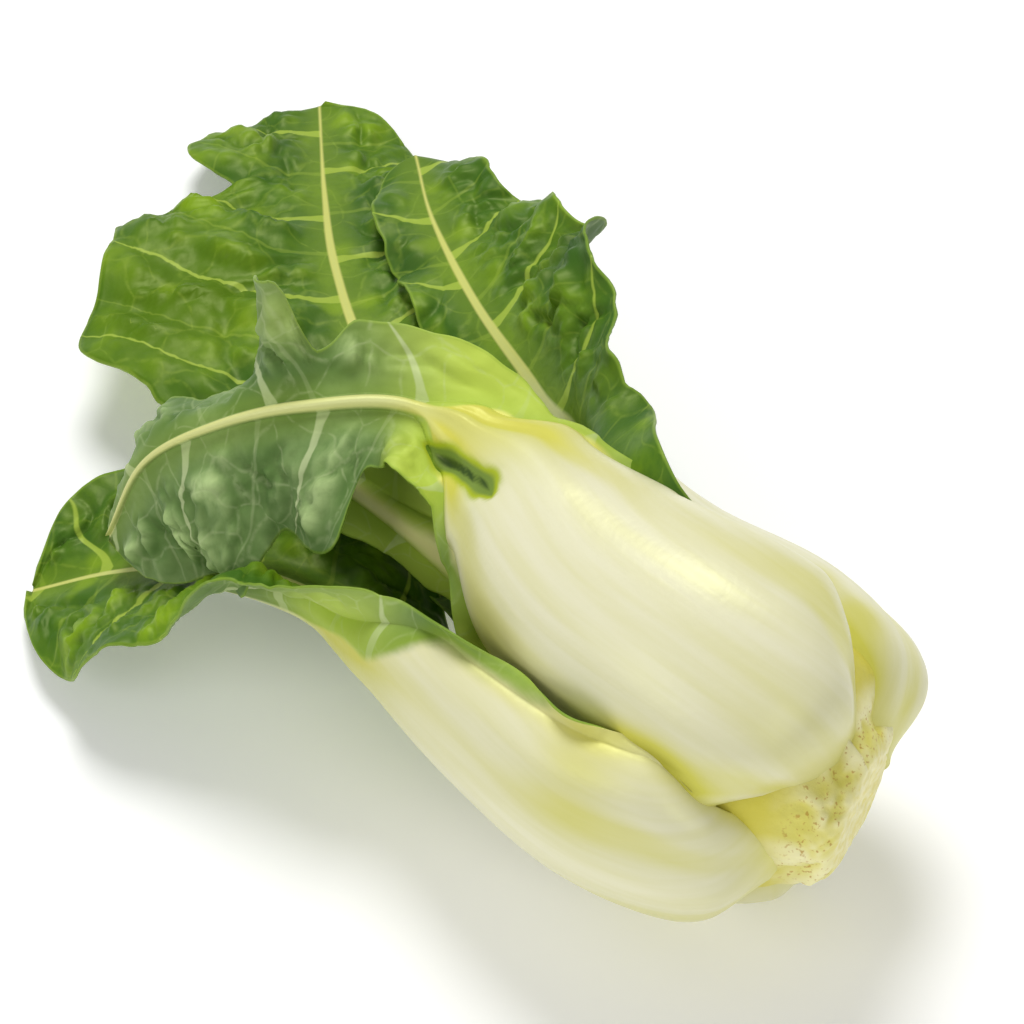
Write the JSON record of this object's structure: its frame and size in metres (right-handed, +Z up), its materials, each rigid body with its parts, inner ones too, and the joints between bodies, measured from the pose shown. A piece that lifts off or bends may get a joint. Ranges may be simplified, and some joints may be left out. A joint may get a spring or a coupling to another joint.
{
  "type": "baby bok choy",
  "caption": "Head of baby bok choy lying on its side: cut base, fleshy white stalks in a bulb, and broad green leaf blades.",
  "frame": {"origin": "middle of the bounding box, on the surface that the head lies on", "axes": "+Z up; +X along the head towards its cut base, so the leaf tips are at -X"},
  "size_m": [0.1508, 0.0976, 0.0518],
  "materials": {
    "base": "cut stem, pale yellow, matt and slightly knobbly",
    "stalk": "fleshy leaf stalk, creamy white with pale green ribs, waxy gloss",
    "blade": "leaf blade, deep green and glossy above, paler and greyer beneath, pale veins",
    "young_blade": "young leaf blade, bright yellow-green"
  },
  "bodies": {
    "root": {"base": "base", "leaf_top_stalk": "stalk", "leaf_top_blade": "blade", "leaf_front_stalk": "stalk", "leaf_front_blade": "blade", "leaf_back_stalk": "stalk", "leaf_back_blade": "blade", "leaf_bottom_stalk": "stalk", "leaf_bottom_blade": "blade", "leaf_inner_front_stalk": "stalk", "leaf_inner_front_blade": "blade", "leaf_inner_top_stalk": "stalk", "leaf_inner_top_blade": "blade", "leaf_inner_back_stalk": "stalk", "leaf_inner_back_blade": "blade", "leaf_inner_bottom_stalk": "stalk", "leaf_inner_bottom_blade": "blade", "heart_leaf_upper_stalk": "stalk", "heart_leaf_upper_blade": "young_blade", "heart_leaf_lower_stalk": "stalk", "heart_leaf_lower_blade": "young_blade"}
  },
  "joints": []
}
